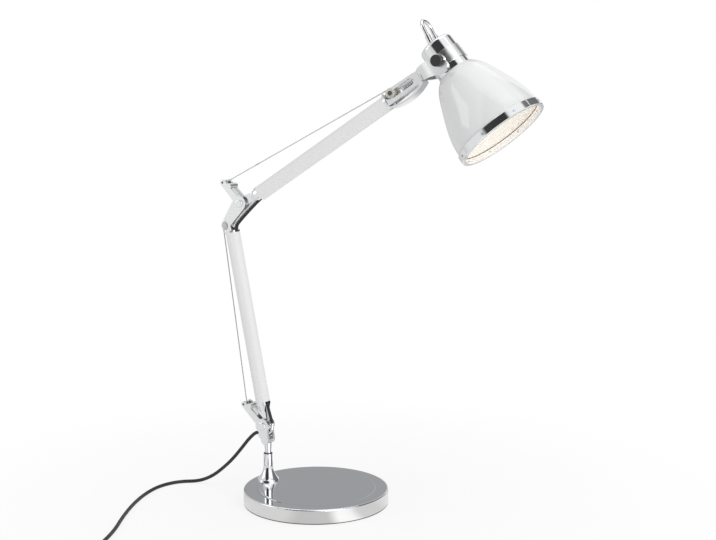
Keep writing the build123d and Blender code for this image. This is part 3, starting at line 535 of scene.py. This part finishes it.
def clouded(tree, shader, value, one, other):
    """Colour of the surface between two colours, by a varying value."""
    tree.links.new(mixed(tree, value, one, other), shader.inputs["Base Color"])


def uneven(tree, shader, value, low, high):
    """Roughness of the surface between two levels, by a varying value."""
    tree.links.new(spread(tree, value, low, high), shader.inputs["Roughness"])


def relief_of(tree, shader, value, strength, distance):
    """Fine relief of the surface from a varying value."""
    bump = tree.nodes.new("ShaderNodeBump")
    bump.inputs["Strength"].default_value = strength
    bump.inputs["Distance"].default_value = distance
    tree.links.new(value, bump.inputs["Height"])
    tree.links.new(bump.outputs["Normal"], shader.inputs["Normal"])


cover_edge = (0.0165, 0.0182)
# Heights of the painted shadow along the cover wall's lower edge, in metres
painted_shadow_band = (0.0012, 0.0019)


def polished_cover():
    """Plated cover: mirror top with a faint haze and a cooler colour that is painted reflection, satin wall
    brushed round, and a painted shadow along the wall's lower edge, where it meets the table."""
    made, tree, shader = surface("polished_cover", (0.74, 0.75, 0.77), 1.0, 0.1)
    place = tree.nodes.new("ShaderNodeTexCoord")
    split = tree.nodes.new("ShaderNodeSeparateXYZ")
    tree.links.new(place.outputs["Object"], split.inputs["Vector"])
    top = spread(tree, split.outputs["Z"], 0.0, 1.0, *cover_edge)
    brushed = spread(tree, grain(tree, 60, (1, 1, 24), 3.0), 0.17, 0.23)
    mirror = spread(tree, grain(tree, 9, (1, 1, 1), 5.0), 0.045, 0.085)
    rough = tree.nodes.new("ShaderNodeMix")
    tree.links.new(top, rough.inputs["Factor"])
    tree.links.new(brushed, rough.inputs["A"])
    tree.links.new(mirror, rough.inputs["B"])
    tree.links.new(rough.outputs["Result"], shader.inputs["Roughness"])
    cloud = grain(tree, 14, (1, 1, 6), 4.0)
    clean = mixed(tree, cloud, (0.73, 0.73, 0.725), (0.80, 0.80, 0.795))
    # Painted shadow: the wall turns near black in its lowest two millimetres, where it meets the table
    above_painted_shadow = spread(tree, split.outputs["Z"], 0.0, 1.0, *painted_shadow_band)
    wall = mixed(tree, above_painted_shadow, (0.1, 0.1, 0.1), clean)
    # Painted reflection: the mirror top is coloured cooler and bluer than the wall of the same plate
    face = mixed(tree, cloud, (0.70, 0.72, 0.755), (0.775, 0.80, 0.835))
    clouded(tree, shader, top, wall, face)
    relief_of(tree, shader, grain(tree, 160, (1, 1, 30), 2.0), 0.05, 0.00001)
    return made


def bright_chrome():
    """Chrome plate: mirror with slight haze and finger marks."""
    made, tree, shader = surface("bright_chrome", (0.86, 0.865, 0.88), 1.0, 0.06)
    uneven(tree, shader, grain(tree, 90, detail=5.0), 0.03, 0.11)
    clouded(tree, shader, grain(tree, 40), (0.83, 0.835, 0.855), (0.89, 0.895, 0.905))
    return made


def satin_alloy():
    """Cast and tumbled aluminium: soft gloss with a fine matt grain."""
    made, tree, shader = surface("satin_alloy", (0.86, 0.865, 0.875), 1.0, 0.3)
    uneven(tree, shader, grain(tree, 120, detail=6.0), 0.24, 0.36)
    clouded(tree, shader, grain(tree, 55), (0.82, 0.825, 0.835), (0.9, 0.905, 0.91))
    relief_of(tree, shader, grain(tree, 1500, detail=2.0), 0.1, 0.00001)
    return made


def gloss_white():
    """White stove enamel: deep gloss with a slight orange peel."""
    made, tree, shader = surface("gloss_white", (0.82, 0.825, 0.83), 0.0, 0.16)
    uneven(tree, shader, grain(tree, 26), 0.10, 0.2)
    clouded(tree, shader, grain(tree, 8, detail=3.0), (0.80, 0.805, 0.81), (0.845, 0.847, 0.85))
    shader.inputs["Coat Weight"].default_value = 0.6
    shader.inputs["Coat Roughness"].default_value = 0.05
    relief_of(tree, shader, grain(tree, 420, detail=1.0), 0.05, 0.00002)
    return made


def satin_white():
    """White powder coat of the arm tubes: soft gloss with a fine texture."""
    made, tree, shader = surface("satin_white", (0.885, 0.885, 0.885), 0.0, 0.45)
    uneven(tree, shader, grain(tree, 60), 0.4, 0.52)
    clouded(tree, shader, grain(tree, 12, detail=3.0), (0.87, 0.87, 0.872), (0.9, 0.9, 0.9))
    relief_of(tree, shader, grain(tree, 900, detail=2.0), 0.06, 0.00002)
    return made


def black_sheath():
    """Soft black sheath: dull with a faint extrusion grain."""
    made, tree, shader = surface("black_sheath", (0.018, 0.018, 0.02), 0.0, 0.5)
    uneven(tree, shader, grain(tree, 300), 0.38, 0.58)
    clouded(tree, shader, grain(tree, 130), (0.012, 0.012, 0.013), (0.026, 0.026, 0.028))
    relief_of(tree, shader, grain(tree, 900, detail=2.0), 0.15, 0.00003)
    return made


def black_moulding():
    """Black moulded plastic: fine spark-eroded texture."""
    made, tree, shader = surface("black_moulding", (0.02, 0.02, 0.022), 0.0, 0.4)
    uneven(tree, shader, grain(tree, 500), 0.32, 0.5)
    clouded(tree, shader, grain(tree, 200), (0.014, 0.014, 0.015), (0.03, 0.03, 0.032))
    relief_of(tree, shader, grain(tree, 2200, detail=1.0), 0.2, 0.00001)
    return made


def ivory_nylon():
    """Ivory nylon wheel: waxy, with mould flow in it."""
    made, tree, shader = surface("ivory_nylon", (0.74, 0.73, 0.66), 0.0, 0.38)
    uneven(tree, shader, grain(tree, 200), 0.3, 0.46)
    clouded(tree, shader, grain(tree, 90), (0.70, 0.69, 0.61), (0.79, 0.78, 0.71))
    shader.inputs["Subsurface Weight"].default_value = 0.15
    shader.inputs["Subsurface Radius"].default_value = (0.003, 0.002, 0.001)
    shader.inputs["Subsurface Scale"].default_value = 1.0
    return made


def plated_steel():
    """Zinc-plated steel: slightly uneven, drawn or turned."""
    made, tree, shader = surface("plated_steel", (0.58, 0.585, 0.6), 1.0, 0.24)
    uneven(tree, shader, grain(tree, 260), 0.16, 0.34)
    clouded(tree, shader, grain(tree, 140), (0.50, 0.505, 0.52), (0.66, 0.665, 0.675))
    return made


def cast_iron():
    """Cast iron weight: dark, rough sand-cast skin."""
    made, tree, shader = surface("cast_iron", (0.06, 0.06, 0.062), 0.6, 0.7)
    uneven(tree, shader, grain(tree, 150, detail=8.0), 0.55, 0.85)
    clouded(tree, shader, grain(tree, 80), (0.04, 0.04, 0.042), (0.09, 0.088, 0.085))
    relief_of(tree, shader, grain(tree, 700, detail=6.0), 0.5, 0.0004)
    return made


def felt_pad():
    """Pressed black felt: matt with short crossed fibres."""
    made, tree, shader = surface("felt_pad", (0.022, 0.022, 0.024), 0.0, 0.95)
    fibres = grain(tree, 900, (1, 4, 1), 6.0)
    clouded(tree, shader, fibres, (0.012, 0.012, 0.013), (0.045, 0.045, 0.047))
    shader.inputs["Sheen Weight"].default_value = 0.3
    relief_of(tree, shader, fibres, 0.5, 0.0001)
    return made


def dark_steel():
    """Oiled dark steel: turned pins and the swivel's bush."""
    made, tree, shader = surface("dark_steel", (0.12, 0.12, 0.125), 1.0, 0.35)
    clouded(tree, shader, grain(tree, 500), (0.08, 0.08, 0.085), (0.17, 0.17, 0.175))
    uneven(tree, shader, grain(tree, 600), 0.28, 0.44)
    return made


def cap_brass():
    """Pressed brass cap of the bulb, a little dulled."""
    made, tree, shader = surface("cap_brass", (0.72, 0.56, 0.27), 1.0, 0.3)
    clouded(tree, shader, grain(tree, 160), (0.62, 0.46, 0.20), (0.78, 0.63, 0.33))
    uneven(tree, shader, grain(tree, 220), 0.22, 0.4)
    return made


def painted_gap_shadow():
    """Painted shadow in the gap between the rim and the shade: dark brown, standing for shade tinted warm by
    the bulb.
    """
    made, tree, shader = surface("painted_gap_shadow", (0.2, 0.14, 0.09), 0.3, 0.55)
    clouded(tree, shader, grain(tree, 120), (0.13, 0.09, 0.055), (0.28, 0.2, 0.13))
    uneven(tree, shader, grain(tree, 300), 0.45, 0.65)
    return made


def opal_glass():
    """Opal bulb glass with a low warm glow."""
    made, tree, shader = surface("opal_glass", (0.9, 0.88, 0.83), 0.0, 0.25)
    clouded(tree, shader, grain(tree, 30), (0.88, 0.86, 0.80), (0.93, 0.91, 0.86))
    uneven(tree, shader, grain(tree, 60), 0.2, 0.3)
    made.cycles.emission_sampling = "FRONT"
    shader.inputs["Emission Color"].default_value = (1.0, 0.87, 0.68, 1)
    shader.inputs["Emission Strength"].default_value = 2.5
    return made


finishes = {
    "brushed_cover": polished_cover(),
    "iron": cast_iron(),
    "pad": felt_pad(),
    "chrome": bright_chrome(),
    "steel": plated_steel(),
    "bush": dark_steel(),
    "satin": satin_alloy(),
    "white_paint": gloss_white(),
    "tube_paint": satin_white(),
    "black_rubber": black_sheath(),
    "black_plastic": black_moulding(),
    "ivory": ivory_nylon(),
    "gap_shadow": painted_gap_shadow(),
    "bulb_brass": cap_brass(),
    "bulb_glass": opal_glass(),
}


def dress(piece, finish):
    """Give a piece one finish all over."""
    piece.data.materials.clear()
    piece.data.materials.append(finish)


wears = {
    "brushed_cover": ["base_cover"],
    "iron": ["base_weight"],
    "pad": ["foot_pad"],
    "chrome": ["collar", "lower_knuckle", "upper_knuckle", "lampholder_shell", "rim_ring", "handle_loop",
               "handle_sleeves", "bracket_channel"],
    "steel": ["collar_nut", "lower_pulley_axle", "lower_spring", "upper_spring", "tilt_pin", "rim_screws",
              "plug_pins"],
    "bush": ["swivel_bush", "shoulder_anchor_pin", "elbow_anchor_pin", "upper_pulley_axle"],
    "satin": ["stem_fork", "elbow_bracket", "head_bracket", "head_ring", "shoulder_bolt", "elbow_bolt",
              "shoulder_bumper", "elbow_bumper"],
    "white_paint": ["shade", "switch_button"],
    "tube_paint": ["lower_tube", "upper_tube"],
    "black_rubber": ["cord_grommet"],
    "black_plastic": ["tilt_knob", "plug_body", "switch_body", "socket"],
    "ivory": ["lower_pulley", "upper_pulley"],
    "bulb_brass": ["bulb_cap"],
    "bulb_glass": ["bulb_glass"],
}
for finish_name, node_names in wears.items():
    for node_name in node_names:
        dress(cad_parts[node_name], finishes[finish_name])
worn_by_pieces = {
    "black_rubber": [cord, cord_tie, relief, shoulder_lead, elbow_lead],
    "chrome": [guide, rail],
    "white_paint": [rim_liner],
    "gap_shadow": [rim_gap_shadow],
    "steel": screw_tips + lower_wire + upper_wire,
}
for finish_name, pieces in worn_by_pieces.items():
    for piece in pieces:
        dress(piece, finishes[finish_name])


# Floor and light

def compass_bands(tree, vector, stops):
    """Grey levels round the upright axis, by the compass angle of a vector as a share of a turn; returned
    with the vector's height."""
    split = tree.nodes.new("ShaderNodeSeparateXYZ")
    tree.links.new(vector, split.inputs["Vector"])
    compass = tree.nodes.new("ShaderNodeMath")
    compass.operation = "ARCTAN2"
    tree.links.new(split.outputs["Y"], compass.inputs[0])
    tree.links.new(split.outputs["X"], compass.inputs[1])
    bands = tree.nodes.new("ShaderNodeValToRGB")
    ramp = bands.color_ramp
    for position, _ in stops[1:-1]:
        ramp.elements.new(position)
    for element, (position, level) in zip(ramp.elements, stops):
        element.position = position
        element.color = (level, level, level, 1)
    tree.links.new(spread(tree, compass.outputs["Value"], 0.0, 1.0, -math.pi, math.pi), bands.inputs["Fac"])
    return bands.outputs["Color"], split.outputs["Z"]


def to_the_eye(tree):
    """Two switches by the path of the light: on where metal reflects it, and on where the eye sees it
    straight or through glass."""
    path = tree.nodes.new("ShaderNodeLightPath")
    seen = tree.nodes.new("ShaderNodeMath")
    seen.operation = "MAXIMUM"
    tree.links.new(path.outputs["Is Camera Ray"], seen.inputs[0])
    tree.links.new(path.outputs["Is Transmission Ray"], seen.inputs[1])
    return path.outputs["Is Glossy Ray"], seen.outputs["Value"]


def either(tree, share, one, other):
    """Shader that goes from one to the other with a share."""
    node = tree.nodes.new("ShaderNodeMixShader")
    tree.links.new(share, node.inputs["Fac"])
    tree.links.new(one, node.inputs[1])
    tree.links.new(other, node.inputs[2])
    return node.outputs["Shader"]


floor_bands = [
    (0.0, 0.78), (0.03, 0.68), (0.1, 0.84), (0.25, 0.84), (0.285, 0.68), (0.365, 0.7), (0.392, 1.26),
    (0.43, 1.2), (0.455, 0.8), (0.52, 0.79), (0.57, 0.92), (0.62, 0.9), (0.65, 0.5), (0.72, 0.5),
    (0.76, 0.9), (0.79, 0.9), (0.83, 0.6), (1.0, 0.78),
]
room_bands = [
    (0.0, 0.72), (0.195, 0.74), (0.21, 0.05), (0.345, 0.04), (0.365, 0.9), (0.4, 1.0), (0.535, 1.0),
    (0.562, 0.2), (0.722, 0.16), (0.738, 0.95), (0.79, 0.95), (0.815, 0.41), (0.85, 0.4), (0.875, 0.3),
    (0.905, 0.66), (1.0, 0.72),
]
shadow_fade = (0.15, 0.55)


def pale_floor():
    """Round floor, white to the eye, keeping a soft shadow near the lamp that fades out to plain white.
    Metal sees standing bands of grey on it."""
    made, tree, shader = surface("pale_floor", (0.93, 0.93, 0.93), 0.0, 0.8)
    made.cycles.emission_sampling = "NONE"
    place = tree.nodes.new("ShaderNodeTexCoord")
    away = tree.nodes.new("ShaderNodeVectorMath")
    away.operation = "LENGTH"
    tree.links.new(place.outputs["Object"], away.inputs[0])
    fade = spread(tree, away.outputs["Value"], 0.78, 1.0, *shadow_fade)
    reflected, seen = to_the_eye(tree)
    share = tree.nodes.new("ShaderNodeMath")
    share.operation = "MULTIPLY"
    tree.links.new(fade, share.inputs[0])
    tree.links.new(seen, share.inputs[1])
    glow = tree.nodes.new("ShaderNodeEmission")
    glow.inputs["Strength"].default_value = 1.0
    shown = tree.nodes.new("ShaderNodeEmission")
    tree.links.new(compass_bands(tree, place.outputs["Object"], floor_bands)[0], shown.inputs["Color"])
    mirrored = either(tree, reflected, shader.outputs["BSDF"], shown.outputs["Emission"])
    both = either(tree, share.outputs["Value"], mirrored, glow.outputs["Emission"])
    tree.links.new(both, tree.nodes["Material Output"].inputs["Surface"])
    return made


floor_r, floor_sides = 8, 96
ring = np.linspace(0, 2 * np.pi, floor_sides, endpoint=False)
floor_edge = np.stack([floor_r * np.cos(ring), floor_r * np.sin(ring), 0 * ring], -1)
floor_mesh = bpy.data.meshes.new("floor")
floor_mesh.from_pydata(floor_edge.tolist(), [], [list(range(floor_sides))])
floor = placed("floor", floor_mesh)
dress(floor, pale_floor())


def studio():
    """World: white to the eye, standing bands of light and dark to metal, and even soft light to the rest."""
    world = bpy.data.worlds.new("studio")
    bpy.context.scene.world = world
    world.use_nodes = True
    world.cycles.sampling_method = "NONE"
    tree = world.node_tree
    tree.nodes.clear()
    place = tree.nodes.new("ShaderNodeTexCoord")
    bands, height = compass_bands(tree, place.outputs["Generated"], room_bands)
    overhead = spread(tree, height, 0.0, 1.0, 0.88, 0.98)
    shine, soft, white = [tree.nodes.new("ShaderNodeBackground") for _ in range(3)]
    tree.links.new(mixed(tree, overhead, bands, (0.8, 0.8, 0.81)), shine.inputs["Color"])
    soft.inputs["Color"].default_value = (1, 1, 1, 1)
    soft.inputs["Strength"].default_value = 0.56
    white.inputs["Color"].default_value = (1, 1, 1, 1)
    reflected, seen = to_the_eye(tree)
    room = either(tree, reflected, soft.outputs["Background"], shine.outputs["Background"])
    out = tree.nodes.new("ShaderNodeOutputWorld")
    tree.links.new(either(tree, seen, room, white.outputs["Background"]), out.inputs["Surface"])


def softbox(name, place, aim, size, power):
    """Rectangular soft light at a place, facing a point."""
    light = bpy.data.lights.new(name, "AREA")
    light.shape = "RECTANGLE"
    light.size, light.size_y = size
    light.energy = power
    made = placed(name, light)
    back = unit(np.array(place, float) - np.array(aim, float))
    side = unit(np.cross((0, 0, 1), back))
    rise = np.cross(back, side)
    made.matrix_world = Matrix([(side[i], rise[i], back[i], place[i]) for i in range(3)] + [(0, 0, 0, 1)])


studio()
softbox("key_light", (1.7, -0.7, 1.1), (0.0, 0.0, 0.3), (0.9, 1.3), 12)
softbox("fill_light", (-1.5, -1.2, 0.9), (0.0, 0.0, 0.3), (0.8, 1.2), 4)
softbox("top_light", (0.1, 0.2, 2.0), (0.05, 0.0, 0.3), (2.0, 2.0), 8)
bpy.context.scene.view_settings.view_transform = "Standard"
